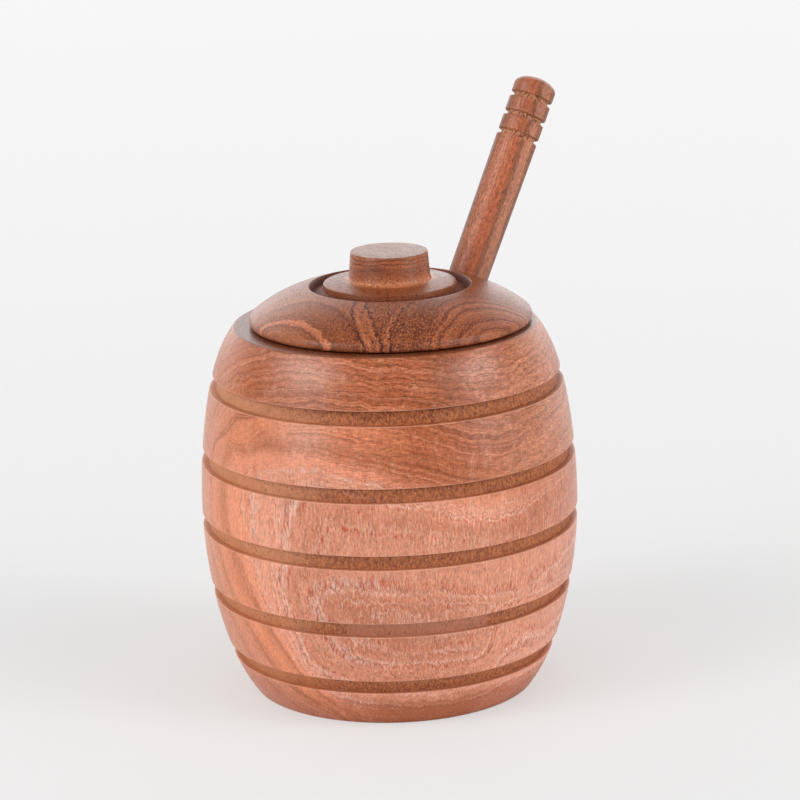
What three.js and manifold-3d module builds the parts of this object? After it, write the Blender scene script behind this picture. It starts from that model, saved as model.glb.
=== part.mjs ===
// Wooden honey pot: a turned barrel, a domed lid with a knob, and a dipper that leans out of the lid.
// Lengths are in millimetres and +Z is up. The origin is the centre of the pot's flat foot.

import * as THREE from 'three';
import { mergeVertices } from 'three/addons/utils/BufferGeometryUtils.js';
import Module from 'manifold-3d';

// Pot body
const bellyRadius = 50;
const bellyHeight = 50.8;
const potHeight = 98.6;
const footRadius = 37.2;
const rimRadius = 39.9;
const wallThickness = 7.5;
const floorThickness = 8;
const floorFillet = 9;
const mouthRadius = 33.5;
const mouthDepth = 8;
const neckSlope = 4.5;
const rimEase = 0.5;
// How much of the barrel's narrowing comes late, close to the foot and close to the rim
const footTurnShare = 0.18;
const rimTurnShare = 0.3;

// Grooves cut round the pot, with their middles as shares of the pot's height
const grooveWidth = 3.8;
const grooveDepth = 2;
const grooveEase = 0.2;
const grooveHeightShares = [0.121, 0.291, 0.479, 0.656, 0.853];

// Lid
const seatGap = 0.3;
const lidRadius = 37.2;
const lidEdgeHeight = 1.2;
const lidUpperRounding = 1.8;
const lidLowerRounding = 0.8;
const crownRadius = 38;
const crownHeight = 9.8;
const moatRadius = 21.4;
const moatDepth = 2.1;
const moatWallTaper = 0.7;
const discRadius = 17.5;
const discRise = 0.6;
const discEdge = 1.6;
const discEase = 0.3;
const discSlope = 0.9;
const knobRadius = 10.15;
const knobTaper = 0.55;
const knobHeight = 7.4;
const knobFillet = 1;
const knobBevel = 0.25;
const spigotDepth = 4.6;
const spigotClearance = 1.9;
const spigotNearGap = 0.35;
const spigotBevel = 0.8;

// Dipper: its place in the lid, then its own sizes along its axis
const dipperLean = THREE.MathUtils.degToRad(28.2);
const dipperHeading = THREE.MathUtils.degToRad(40.5);
const dipperReach = 27.8;
const boreClearance = 0.35;
const dipperFloorGap = 0.3;
const dipperLength = 166.9;
const handleRadius = 5.75;
const neckRadius = 4.8;
const capLength = 5.4;
const capDome = 3;
const ringLength = 3.95;
const ringGrooveWidth = 1.4;
const ringGrooveDepth = 1;
const ringEase = 0.25;
const ringCount = 2;
const noseRadius = 7;
const headRadius = 9.4;
const headCoreRadius = 4.8;
const headDiscThickness = 2.4;
const headGrooveWidth = 2.4;
const headDiscCount = 6;
const headEase = 0.3;

// One overrun serves every cut
const cutOverrun = 6;

// Facets
const bodySegments = 48;
const dipperSegments = 24;
const boreSegments = 32;
const arcSteps = 5;
const landSteps = 3;
const wallSteps = 8;

const wasm = await Module();
wasm.setup();

function woodMaterial(colour, roughness) {
  return new THREE.MeshStandardMaterial({ color: colour, roughness, metalness: 0 });
}

// Points of an arc in the profile plane, from one angle to the other
function arc(centreR, centreZ, radius, startAngle, endAngle) {
  return Array.from({ length: arcSteps + 1 }, (_, i) => {
    const angle = THREE.MathUtils.lerp(startAngle, endAngle, i / arcSteps);
    return [centreR + radius * Math.cos(angle), centreZ + radius * Math.sin(angle)];
  });
}

// A profile of [radius, height] pairs, from axis to axis and anticlockwise, turned round +Z
function turned(profile, segments) {
  const points = profile.map(([radius, height]) => new THREE.Vector2(Math.max(radius, 0), height));
  const geometry = new THREE.LatheGeometry(points, segments);
  geometry.rotateX(Math.PI / 2);
  return closed(geometry);
}

// Merges shared vertices and drops the empty triangles at the axis, so that the skin closes
function closed(geometry) {
  geometry.deleteAttribute('normal');
  geometry.deleteAttribute('uv');
  const merged = mergeVertices(geometry);
  const corners = merged.index.array;
  const kept = [];
  for (let i = 0; i < corners.length; i += 3) {
    const [a, b, c] = corners.slice(i, i + 3);
    if (a !== b && b !== c && c !== a) kept.push(a, b, c);
  }
  merged.setIndex(kept);
  return merged;
}

function toManifold(geometry) {
  return new wasm.Manifold(new wasm.Mesh({
    numProp: 3,
    vertProperties: new Float32Array(geometry.attributes.position.array),
    triVerts: new Uint32Array(geometry.index.array),
  }));
}

function fromManifold(solid) {
  const { vertProperties, triVerts } = solid.getMesh();
  const geometry = new THREE.BufferGeometry();
  geometry.setAttribute('position', new THREE.BufferAttribute(vertProperties, 3));
  geometry.setIndex(new THREE.BufferAttribute(triVerts, 1));
  return geometry;
}

function namedMesh(name, geometry, material) {
  geometry.computeVertexNormals();
  const mesh = new THREE.Mesh(geometry, material);
  mesh.name = name;
  return mesh;
}

// The barrel's outer radius at a height: widest at the belly, drawn in to the foot and to the rim
function barrelRadius(height) {
  const below = height < bellyHeight;
  const span = below ? bellyHeight : potHeight - bellyHeight;
  const narrowing = bellyRadius - (below ? footRadius : rimRadius);
  const late = below ? footTurnShare : rimTurnShare;
  const share = Math.abs(height - bellyHeight) / span;
  return bellyRadius - narrowing * ((1 - late) * share ** 2 + late * share ** 8);
}

function land(fromHeight, toHeight) {
  return Array.from({ length: landSteps + 1 }, (_, i) => {
    const height = THREE.MathUtils.lerp(fromHeight, toHeight, i / landSteps);
    return [barrelRadius(height), height];
  });
}

// A square-cut groove whose floor follows the barrel, with its two corners eased
function groove(low, high) {
  return [
    [barrelRadius(low) - grooveEase, low],
    [barrelRadius(low) - grooveDepth, low],
    [barrelRadius(high) - grooveDepth, high],
    [barrelRadius(high) - grooveEase, high],
  ];
}

function potOutside() {
  const middles = grooveHeightShares.map((share) => share * potHeight);
  const points = [[0, 0], [barrelRadius(rimEase) - rimEase, 0]];
  let height = rimEase;
  for (const middle of middles) {
    const low = middle - grooveWidth / 2;
    const high = middle + grooveWidth / 2;
    points.push(...land(height, low - grooveEase), ...groove(low, high));
    height = high + grooveEase;
  }
  points.push(...land(height, potHeight - rimEase), [rimRadius - rimEase, potHeight]);
  return points;
}

// The hollow: a straight mouth, then a wall that follows the barrel, and a rounded floor corner
function potInside() {
  const cornerTop = floorThickness + floorFillet;
  const wallTop = potHeight - mouthDepth - neckSlope;
  const cornerRadius = barrelRadius(cornerTop) - wallThickness;
  const points = [
    [mouthRadius + rimEase, potHeight],
    [mouthRadius, potHeight - rimEase],
    [mouthRadius, potHeight - mouthDepth],
  ];
  for (let i = 0; i < wallSteps; i += 1) {
    const height = THREE.MathUtils.lerp(wallTop, cornerTop, i / wallSteps);
    points.push([barrelRadius(height) - wallThickness, height]);
  }
  points.push(...arc(cornerRadius - floorFillet, cornerTop, floorFillet, 0, -Math.PI / 2));
  points.push([0, floorThickness]);
  return points;
}

function makePotBody() {
  const geometry = turned([...potOutside(), ...potInside()], bodySegments);
  return namedMesh('pot_body', geometry, woodMaterial('#b5694a', 0.45));
}

// Heights that the lid is built from
const seatHeight = potHeight + seatGap;
const spigotFoot = seatHeight - spigotDepth;
const crownTop = seatHeight + crownHeight;
const discTop = crownTop + discRise;
const knobFoot = discTop + discSlope;
const lidTop = knobFoot + knobHeight;

// The loose lid lies pushed over along +X, its spigot near the mouth's wall
const lidShift = spigotClearance - spigotNearGap;

// The crown is an arc through the moat's rim that runs smoothly into the rounding of the lid's edge
function crownArc() {
  const edge = { r: lidRadius - lidUpperRounding, z: seatHeight + lidEdgeHeight };
  const rise = { r: moatRadius - edge.r, z: crownTop - edge.z };
  const distance = Math.hypot(rise.r, rise.z);
  const toEdge = crownRadius - lidUpperRounding;
  const along = (distance ** 2 + toEdge ** 2 - crownRadius ** 2) / (2 * distance);
  const across = Math.sqrt(toEdge ** 2 - along ** 2);
  const centre = {
    r: edge.r + (along * rise.r - across * rise.z) / distance,
    z: edge.z + (along * rise.z + across * rise.r) / distance,
  };
  return { centre, edge };
}

// The crown's height at a radius
function crownSurface(radius) {
  const { centre } = crownArc();
  return centre.z + Math.sqrt(crownRadius ** 2 - (radius - centre.r) ** 2);
}

function crownProfile() {
  const { centre, edge } = crownArc();
  const joinAngle = Math.atan2(edge.z - centre.z, edge.r - centre.r);
  const rimAngle = Math.atan2(crownTop - centre.z, moatRadius - centre.r);
  return [
    ...arc(edge.r, edge.z, lidUpperRounding, 0, joinAngle),
    ...arc(centre.r, centre.z, crownRadius, joinAngle, rimAngle).slice(1),
  ];
}

// Below the crown: the plain spigot that sits in the mouth, the seat ring and the rounded edge
function lidUnderside() {
  const spigotRadius = mouthRadius - spigotClearance;
  const roundingCentre = lidRadius - lidLowerRounding;
  return [
    [0, spigotFoot],
    [spigotRadius - spigotBevel, spigotFoot],
    [spigotRadius, spigotFoot + spigotBevel],
    [spigotRadius, seatHeight],
    ...arc(roundingCentre, seatHeight + lidLowerRounding, lidLowerRounding, -Math.PI / 2, 0),
  ];
}

// Inside the crown: the sunk moat, the raised disc and the knob with its flared foot
function moatDiscAndKnob() {
  const knobFootRadius = knobRadius + knobTaper;
  const filletCentre = [knobFootRadius + knobFillet, knobFoot + knobFillet];
  return [
    [moatRadius - moatWallTaper, crownTop - moatDepth],
    [discRadius, discTop - discEdge],
    [discRadius, discTop - discEase],
    [discRadius - discEase, discTop],
    ...arc(...filletCentre, knobFillet, -Math.PI / 2, -Math.PI),
    [knobRadius, lidTop - knobBevel],
    [knobRadius - knobBevel, lidTop],
    [0, lidTop],
  ];
}

// The dipper's axis leans out of the lid; everything on it is measured from the middle of its nose
const headLength = headDiscCount * (headDiscThickness + headGrooveWidth);
const dipperTop = dipperLength - noseRadius;
const holeHeight = crownSurface(dipperReach);
const noseHeight = floorThickness + dipperFloorGap + noseRadius;
const holeDistance = (holeHeight - noseHeight) / Math.cos(dipperLean);
const noseReach = dipperReach - holeDistance * Math.sin(dipperLean);

function shaftRadius(distance) {
  return THREE.MathUtils.mapLinear(distance, headLength, dipperTop, neckRadius, handleRadius);
}

// Places a geometry that was made upright on the dipper's leaning axis, before the lid's shift
function dipperPlacement() {
  const turn = new THREE.Matrix4().makeRotationZ(dipperHeading);
  const shift = new THREE.Matrix4().makeTranslation(noseReach, 0, noseHeight);
  const lean = new THREE.Matrix4().makeRotationY(dipperLean);
  return turn.multiply(shift).multiply(lean);
}

function makeBoreCutter() {
  const radius = shaftRadius(holeDistance) + boreClearance;
  const slantRise = radius * Math.tan(dipperLean);
  const low = (spigotFoot - noseHeight) / Math.cos(dipperLean) - slantRise - cutOverrun;
  const high = holeDistance + slantRise + cutOverrun;
  return turned([[0, low], [radius, low], [radius, high], [0, high]], boreSegments)
    .applyMatrix4(dipperPlacement());
}

function makeLid() {
  const profile = [...lidUnderside(), ...crownProfile(), ...moatDiscAndKnob()];
  const block = toManifold(turned(profile, bodySegments));
  const bored = fromManifold(block.subtract(toManifold(makeBoreCutter())));
  return namedMesh('lid', bored.translate(lidShift, 0, 0), woodMaterial('#8e5238', 0.4));
}

// The head: a round nose, then discs and grooves in turn, fullest halfway up
function headProfile() {
  const outline = (distance) => THREE.MathUtils.lerp(
    noseRadius, headRadius, Math.sin(Math.PI * distance / headLength));
  const points = arc(0, 0, noseRadius, -Math.PI / 2, 0);
  for (let i = 0; i < headDiscCount; i += 1) {
    const grooveFoot = i * (headDiscThickness + headGrooveWidth);
    const discFoot = grooveFoot + headGrooveWidth;
    const discHead = discFoot + headDiscThickness;
    points.push(
      [headCoreRadius, grooveFoot],
      [headCoreRadius, discFoot],
      [outline(discFoot) - headEase, discFoot],
      [outline(discFoot + headEase), discFoot + headEase],
      [outline(discHead - headEase), discHead - headEase],
      [outline(discHead) - headEase, discHead],
    );
  }
  return points;
}

// The handle: a tapered shaft, then rings between square grooves, and a domed cap
function handleProfile() {
  const pitch = ringLength + ringGrooveWidth;
  const capFoot = dipperTop - capLength;
  const points = [[neckRadius, headLength]];
  for (let i = ringCount; i >= 0; i -= 1) {
    const high = capFoot - i * pitch;
    const low = high - ringGrooveWidth;
    const floorRadius = shaftRadius(low) - ringGrooveDepth;
    points.push(
      [shaftRadius(low - ringEase), low - ringEase],
      [shaftRadius(low) - ringEase, low],
      [floorRadius, low],
      [floorRadius, high],
      [shaftRadius(high) - ringEase, high],
      [shaftRadius(high + ringEase), high + ringEase],
    );
  }
  return [...points, ...capDomeProfile()];
}

function capDomeProfile() {
  return arc(0, 0, 1, 0, Math.PI / 2).map(([across, along]) => [
    across * handleRadius,
    dipperTop - capDome + along * capDome,
  ]);
}

function makeDipper() {
  const upright = turned([...headProfile(), ...handleProfile()], dipperSegments);
  const leaning = upright.applyMatrix4(dipperPlacement());
  return namedMesh('dipper', leaning.translate(lidShift, 0, 0), woodMaterial('#a05f42', 0.5));
}

const honeyPot = new THREE.Group();
honeyPot.add(makePotBody(), makeLid(), makeDipper());

export default honeyPot;
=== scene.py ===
"""Looks of a turned wooden honey pot: barrel, domed lid and dipper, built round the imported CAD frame."""

import math

import bpy
from mathutils import Matrix, Vector


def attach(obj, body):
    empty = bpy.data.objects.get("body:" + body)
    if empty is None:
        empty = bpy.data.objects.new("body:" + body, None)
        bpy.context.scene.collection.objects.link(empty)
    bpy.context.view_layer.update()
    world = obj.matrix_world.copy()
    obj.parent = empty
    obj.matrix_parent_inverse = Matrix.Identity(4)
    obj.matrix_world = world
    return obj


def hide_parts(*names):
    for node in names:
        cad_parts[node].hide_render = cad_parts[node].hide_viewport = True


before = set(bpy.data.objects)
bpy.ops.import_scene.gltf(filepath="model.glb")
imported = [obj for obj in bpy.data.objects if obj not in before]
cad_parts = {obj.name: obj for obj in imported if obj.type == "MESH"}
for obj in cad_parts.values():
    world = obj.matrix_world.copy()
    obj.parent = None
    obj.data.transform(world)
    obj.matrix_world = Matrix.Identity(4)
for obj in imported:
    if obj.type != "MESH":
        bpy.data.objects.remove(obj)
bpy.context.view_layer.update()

MM = 0.001

# Pot body, in millimetres
BELLY_RADIUS = 50.0
BELLY_HEIGHT = 50.8
POT_HEIGHT = 98.6
FOOT_RADIUS = 37.2
RIM_RADIUS = 39.9
WALL = 7.5
FLOOR = 8.0
FLOOR_FILLET = 9.0
MOUTH_RADIUS = 33.5
MOUTH_DEPTH = 8.0
NECK_SLOPE = 4.5
RIM_ROUNDING = 0.45
FOOT_ROUNDING = 0.5
FOOT_TURN_SHARE = 0.18
RIM_TURN_SHARE = 0.3
TURN_POWER = 8
GROOVE_WIDTH = 3.8
GROOVE_DEPTH = 2.0
GROOVE_EDGE = 0.2
GROOVE_CORNER = 0.3
GROOVE_FLOOR_SHARES = (0.3, 0.7)
GROOVE_HEIGHT_SHARES = (0.121, 0.291, 0.479, 0.656, 0.853)

# Lid, in millimetres
SEAT_HEIGHT = 98.9
LID_RADIUS = 37.2
LID_EDGE_HEIGHT = 1.2
LID_UPPER_ROUNDING = 1.8
LID_LOWER_ROUNDING = 0.8
CROWN_RADIUS = 38.0
CROWN_HEIGHT = 9.8
MOAT_RADIUS = 21.4
MOAT_DEPTH = 2.1
MOAT_WALL_TAPER = 0.7
MOAT_RIM_ROUNDING = 0.25
MOAT_FLOOR_ROUNDING = 0.3
DISC_RADIUS = 17.5
DISC_RISE = 0.6
DISC_EDGE = 1.6
DISC_ROUNDING = 0.3
DISC_FOOT_ROUNDING = 0.2
DISC_EDGE_RISE = 0.1
DISC_SLOPE = 0.9
KNOB_RADIUS = 10.15
KNOB_TAPER = 0.55
KNOB_HEIGHT = 7.4
KNOB_FILLET = 1.0
KNOB_ROUNDING = 0.25
SPIGOT_DEPTH = 4.6
SPIGOT_CLEARANCE = 1.9
SPIGOT_NEAR_GAP = 0.35
SPIGOT_RADIUS = MOUTH_RADIUS - SPIGOT_CLEARANCE
LID_SHIFT = SPIGOT_CLEARANCE - SPIGOT_NEAR_GAP
SPIGOT_ROUNDING = 0.8
CROWN_TOP = SEAT_HEIGHT + CROWN_HEIGHT
DISC_TOP = CROWN_TOP + DISC_RISE
KNOB_FOOT = DISC_TOP + DISC_SLOPE

# Dipper, in millimetres along its own axis from the middle of its nose
DIPPER_LEAN = math.radians(28.2)
DIPPER_HEADING = math.radians(40.5)
DIPPER_REACH = 27.8
DIPPER_FLOOR_GAP = 0.3
DIPPER_LENGTH = 166.9
BORE_CLEARANCE = 0.35
HANDLE_RADIUS = 5.75
NECK_RADIUS = 4.8
CAP_LENGTH = 5.4
CAP_DOME = 3.0
RING_LENGTH = 3.95
RING_GROOVE_WIDTH = 1.4
RING_GROOVE_DEPTH = 1.0
RING_EDGE = 0.3
RING_CORNER = 0.15
RING_COUNT = 2
NOSE_RADIUS = 7.0
HEAD_RADIUS = 9.4
HEAD_CORE_RADIUS = 4.8
HEAD_DISC_THICKNESS = 2.4
HEAD_GROOVE_WIDTH = 2.4
HEAD_DISC_COUNT = 6
HEAD_EDGE = 0.45
HEAD_CORE_ROUNDING = 0.2

# Share of rough cut on the faces
SMOOTH = 0.0
ROUGH = 1.0
GROOVE_EDGE_CUT = 0.4
GROOVE_WALL_CUT = 0.85
GROOVE_FLOOR_CUT = 0.8
DISC_FOOT_CUT = 0.7
RING_EDGE_CUT = 0.3
HEAD_EDGE_CUT = 0.2
NECK_CUT = 0.5

# Fineness of the turned meshes, and the angle in degrees past which an edge stays sharp
POT_SEGMENTS = 288
LID_SEGMENTS = 288
DIPPER_SEGMENTS = 72
BORE_SEGMENTS = 96
PROFILE_STEP = 1.2
HOLLOW_STEP = 2 * PROFILE_STEP
HANDLE_STEP = 4 * PROFILE_STEP
CORNER_STEPS = 4
FILLET_STEPS = 8
QUARTER_STEPS = 12
LID_EDGE_STEPS = 5
CROWN_STEPS = 22
FLAT_SHARE = 0.5
FOOT_FLAT_SHARE = 0.9
AXIS_TOLERANCE = 1e-6
SHARP_ANGLE = 40
LID_SHARP_ANGLE = 35


# Profiles: lists of (radius, height, cut) in millimetres, where cut is the share of rough cut

def barrel_radius(height):
    """The barrel's outer radius at a height."""
    below = height < BELLY_HEIGHT
    span = BELLY_HEIGHT if below else POT_HEIGHT - BELLY_HEIGHT
    narrowing = BELLY_RADIUS - (FOOT_RADIUS if below else RIM_RADIUS)
    late = FOOT_TURN_SHARE if below else RIM_TURN_SHARE
    share = abs(height - BELLY_HEIGHT) / span
    return BELLY_RADIUS - narrowing * ((1 - late) * share ** 2 + late * share ** TURN_POWER)


def rounded(corners):
    """Corners (radius, height, rounding, cut) as a profile; each corner with a rounding becomes an arc."""
    points = []
    count = len(corners)
    for i, (radius, height, rounding, cut) in enumerate(corners):
        here = Vector((radius, height))
        if not rounding or i in (0, count - 1):
            points.append((radius, height, cut))
            continue
        back = (Vector(corners[i - 1][:2]) - here).normalized()
        ahead = (Vector(corners[i + 1][:2]) - here).normalized()
        start, end = here + back * rounding, here + ahead * rounding
        for k in range(CORNER_STEPS + 1):
            t = k / CORNER_STEPS
            spot = start * (1 - t) ** 2 + here * (2 * t * (1 - t)) + end * t ** 2
            points.append((spot.x, spot.y, cut))
    return points


def arc(centre, radius, start, end, steps, cut=SMOOTH):
    """Points of an arc in the profile plane."""
    turns = [start + (end - start) * i / steps for i in range(steps + 1)]
    return [(centre[0] + radius * math.cos(a), centre[1] + radius * math.sin(a), cut) for a in turns]


def land(low, high):
    """The polished barrel between two heights."""
    steps = max(2, round((high - low) / PROFILE_STEP))
    heights = [low + (high - low) * i / steps for i in range(steps + 1)]
    return [(barrel_radius(h), h, SMOOTH) for h in heights]


def groove(low, high):
    """A square-cut groove with soft edges and corners; its faces are rough-cut."""
    outer_low, outer_high = barrel_radius(low), barrel_radius(high)
    edge, corner, deep = GROOVE_EDGE, GROOVE_CORNER, GROOVE_DEPTH
    rise = outer_high - outer_low
    floor = [(outer_low - deep + rise * s, low + GROOVE_WIDTH * s, 0, GROOVE_FLOOR_CUT)
             for s in GROOVE_FLOOR_SHARES]
    return rounded([
        (barrel_radius(low - edge), low - edge, 0, SMOOTH),
        (outer_low, low, edge, GROOVE_EDGE_CUT),
        (outer_low - deep, low, corner, GROOVE_WALL_CUT),
        *floor,
        (outer_high - deep, high, corner, ROUGH),
        (outer_high, high, edge, GROOVE_EDGE_CUT),
        (barrel_radius(high + edge), high + edge, 0, SMOOTH),
    ])[1:-1]


def pot_profile():
    """Foot, barrel with its grooves, rim and hollow, from axis to axis."""
    points = [(0.0, 0.0, ROUGH), (FOOT_RADIUS * FLAT_SHARE, 0.0, ROUGH)]
    points += rounded([
        (FOOT_RADIUS * FOOT_FLAT_SHARE, 0.0, 0, ROUGH),
        (barrel_radius(0.0), 0.0, FOOT_ROUNDING, SMOOTH),
        (barrel_radius(FOOT_ROUNDING * 2), FOOT_ROUNDING * 2, 0, SMOOTH),
    ])[:-1]
    height = FOOT_ROUNDING * 2
    for share in GROOVE_HEIGHT_SHARES:
        middle = share * POT_HEIGHT
        low, high = middle - GROOVE_WIDTH / 2, middle + GROOVE_WIDTH / 2
        points += land(height, low - GROOVE_EDGE) + groove(low, high)
        height = high + GROOVE_EDGE
    points += land(height, POT_HEIGHT - RIM_ROUNDING)[:-1]
    points += rounded([
        (barrel_radius(POT_HEIGHT - RIM_ROUNDING), POT_HEIGHT - RIM_ROUNDING, 0, SMOOTH),
        (RIM_RADIUS, POT_HEIGHT, RIM_ROUNDING, SMOOTH),
        (MOUTH_RADIUS, POT_HEIGHT, RIM_ROUNDING, SMOOTH),
        (MOUTH_RADIUS, POT_HEIGHT - MOUTH_DEPTH, 0, ROUGH),
    ])
    corner_top = FLOOR + FLOOR_FILLET
    wall_top = POT_HEIGHT - MOUTH_DEPTH - NECK_SLOPE
    steps = round((wall_top - corner_top) / HOLLOW_STEP)
    for i in range(steps):
        height = wall_top + (corner_top - wall_top) * i / steps
        points.append((barrel_radius(height) - WALL, height, ROUGH))
    corner = (barrel_radius(corner_top) - WALL - FLOOR_FILLET, corner_top)
    points += arc(corner, FLOOR_FILLET, 0, -math.pi / 2, QUARTER_STEPS, ROUGH)
    return points + [(0.0, FLOOR, ROUGH)]


def crown_arc():
    """Centre of the crown's arc, and centre of the rounding of the lid's edge."""
    edge = Vector((LID_RADIUS - LID_UPPER_ROUNDING, SEAT_HEIGHT + LID_EDGE_HEIGHT))
    rise = Vector((MOAT_RADIUS, CROWN_TOP)) - edge
    to_edge = CROWN_RADIUS - LID_UPPER_ROUNDING
    along = (rise.length ** 2 + to_edge ** 2 - CROWN_RADIUS ** 2) / (2 * rise.length)
    across = math.sqrt(to_edge ** 2 - along ** 2)
    side = Vector((-rise.y, rise.x)) / rise.length
    return edge + rise.normalized() * along + side * across, edge


def crown_surface(radius):
    """The crown's height at a radius."""
    centre, _ = crown_arc()
    return centre.y + math.sqrt(CROWN_RADIUS ** 2 - (radius - centre.x) ** 2)


def lid_profile():
    """Spigot, edge, crown, moat, disc and knob, from axis to axis."""
    centre, edge = crown_arc()
    join = math.atan2(edge.y - centre.y, edge.x - centre.x)
    rim = math.atan2(CROWN_TOP - centre.y, MOAT_RADIUS - centre.x)
    lid_top = KNOB_FOOT + KNOB_HEIGHT
    lower = LID_LOWER_ROUNDING
    points = [(0.0, SEAT_HEIGHT - SPIGOT_DEPTH, ROUGH)]
    points += rounded([
        (SPIGOT_RADIUS * FLAT_SHARE, SEAT_HEIGHT - SPIGOT_DEPTH, 0, ROUGH),
        (SPIGOT_RADIUS, SEAT_HEIGHT - SPIGOT_DEPTH, SPIGOT_ROUNDING, ROUGH),
        (SPIGOT_RADIUS, SEAT_HEIGHT, 0, ROUGH),
    ])
    points += arc((LID_RADIUS - lower, SEAT_HEIGHT + lower), lower, -math.pi / 2, 0, LID_EDGE_STEPS)
    points += arc(edge, LID_UPPER_ROUNDING, 0, join, FILLET_STEPS)
    points += arc(centre, CROWN_RADIUS, join, rim, CROWN_STEPS)[1:-1]
    points += rounded([
        points[-1][:2] + (0, SMOOTH),
        (MOAT_RADIUS, CROWN_TOP, MOAT_RIM_ROUNDING, SMOOTH),
        (MOAT_RADIUS - MOAT_WALL_TAPER, CROWN_TOP - MOAT_DEPTH, MOAT_FLOOR_ROUNDING, ROUGH),
        (DISC_RADIUS, DISC_TOP - DISC_EDGE, DISC_FOOT_ROUNDING, DISC_FOOT_CUT),
        (DISC_RADIUS, DISC_TOP, DISC_ROUNDING, SMOOTH),
        (DISC_RADIUS - 2 * DISC_ROUNDING, DISC_TOP + DISC_EDGE_RISE, 0, SMOOTH),
    ])[1:]
    fillet = (KNOB_RADIUS + KNOB_TAPER + KNOB_FILLET, KNOB_FOOT + KNOB_FILLET)
    points += arc(fillet, KNOB_FILLET, -math.pi / 2, -math.pi, FILLET_STEPS)
    points += rounded([
        (KNOB_RADIUS + KNOB_TAPER, fillet[1], 0, SMOOTH),
        (KNOB_RADIUS, lid_top, KNOB_ROUNDING, SMOOTH),
        (KNOB_RADIUS * FLAT_SHARE, lid_top, 0, SMOOTH),
        (0.0, lid_top, 0, SMOOTH),
    ])[1:]
    return points


HEAD_LENGTH = HEAD_DISC_COUNT * (HEAD_DISC_THICKNESS + HEAD_GROOVE_WIDTH)
DIPPER_TOP = DIPPER_LENGTH - NOSE_RADIUS
HOLE_HEIGHT = crown_surface(DIPPER_REACH)
NOSE_HEIGHT = FLOOR + DIPPER_FLOOR_GAP + NOSE_RADIUS
HOLE_DISTANCE = (HOLE_HEIGHT - NOSE_HEIGHT) / math.cos(DIPPER_LEAN)
NOSE_REACH = DIPPER_REACH - HOLE_DISTANCE * math.sin(DIPPER_LEAN)


def shaft_radius(distance):
    """The handle's radius at a distance along the dipper."""
    share = (distance - HEAD_LENGTH) / (DIPPER_TOP - HEAD_LENGTH)
    return NECK_RADIUS + (HANDLE_RADIUS - NECK_RADIUS) * share


def head_radius(distance):
    """The outline of the head's discs, fullest halfway up."""
    return NOSE_RADIUS + (HEAD_RADIUS - NOSE_RADIUS) * math.sin(math.pi * distance / HEAD_LENGTH)


def dipper_profile():
    """Nose, discs, tapered handle with two rings and the domed cap."""
    points = arc((0, 0), NOSE_RADIUS, -math.pi / 2, 0, QUARTER_STEPS)
    for i in range(HEAD_DISC_COUNT):
        foot = i * (HEAD_DISC_THICKNESS + HEAD_GROOVE_WIDTH)
        low = foot + HEAD_GROOVE_WIDTH
        high = low + HEAD_DISC_THICKNESS
        points += rounded([
            (HEAD_CORE_RADIUS, foot, 0, ROUGH),
            (HEAD_CORE_RADIUS, low, HEAD_CORE_ROUNDING, ROUGH),
            (head_radius(low), low, HEAD_EDGE, HEAD_EDGE_CUT),
            (head_radius(high), high, HEAD_EDGE, HEAD_EDGE_CUT),
            (HEAD_CORE_RADIUS, high, 0, ROUGH),
        ])[:-1]
    points.append((NECK_RADIUS, HEAD_LENGTH, NECK_CUT))
    pitch = RING_LENGTH + RING_GROOVE_WIDTH
    cap_foot = DIPPER_TOP - CAP_LENGTH
    start = HEAD_LENGTH
    for i in range(RING_COUNT, -1, -1):
        high = cap_foot - i * pitch
        low = high - RING_GROOVE_WIDTH
        steps = max(2, round((low - start) / HANDLE_STEP))
        along = [start + (low - RING_EDGE - start) * k / steps for k in range(1, steps)]
        points += [(shaft_radius(d), d, SMOOTH) for d in along]
        deep = shaft_radius(low) - RING_GROOVE_DEPTH
        points += rounded([
            (shaft_radius(low - 2 * RING_EDGE), low - 2 * RING_EDGE, 0, SMOOTH),
            (shaft_radius(low), low, RING_EDGE, RING_EDGE_CUT),
            (deep, low, RING_CORNER, ROUGH),
            (deep, high, RING_CORNER, ROUGH),
            (shaft_radius(high), high, RING_EDGE, RING_EDGE_CUT),
            (shaft_radius(high + 2 * RING_EDGE), high + 2 * RING_EDGE, 0, SMOOTH),
        ])
        start = high + 2 * RING_EDGE
    for i in range(FILLET_STEPS + 1):
        turn = i / FILLET_STEPS * math.pi / 2
        up = DIPPER_TOP - CAP_DOME + CAP_DOME * math.sin(turn)
        points.append((HANDLE_RADIUS * math.cos(turn), up, SMOOTH))
    return points


# Meshes

def placed(name, data):
    """A new object in the scene."""
    made = bpy.data.objects.new(name, data)
    bpy.context.scene.collection.objects.link(made)
    return made


def turned(name, profile, segments):
    """A closed mesh turned round +Z from a profile; the share of rough cut is kept as a point attribute."""
    vertices, cuts, rings = [], [], []
    for radius, height, cut in profile:
        first = len(vertices)
        if radius < AXIS_TOLERANCE:
            vertices.append((0.0, 0.0, height * MM))
            rings.append([first] * segments)
            cuts.append(cut)
            continue
        for k in range(segments):
            turn = 2 * math.pi * k / segments
            vertices.append((radius * math.cos(turn) * MM, radius * math.sin(turn) * MM, height * MM))
            cuts.append(cut)
        rings.append(list(range(first, first + segments)))
    faces = []
    for low, high in zip(rings, rings[1:]):
        for k in range(segments):
            after = (k + 1) % segments
            corners = [low[k], low[after], high[after], high[k]]
            kept = [c for i, c in enumerate(corners) if c not in corners[:i]]
            if len(kept) > 2:
                faces.append(kept)
    mesh = bpy.data.meshes.new(name)
    mesh.from_pydata(vertices, [], faces)
    mesh.attributes.new("cut", "FLOAT", "POINT").data.foreach_set("value", cuts)
    mesh.update()
    return placed(name, mesh)


def lid_placement():
    """The loose lid lies pushed over along +X."""
    return Matrix.Translation((LID_SHIFT * MM, 0, 0))


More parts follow.
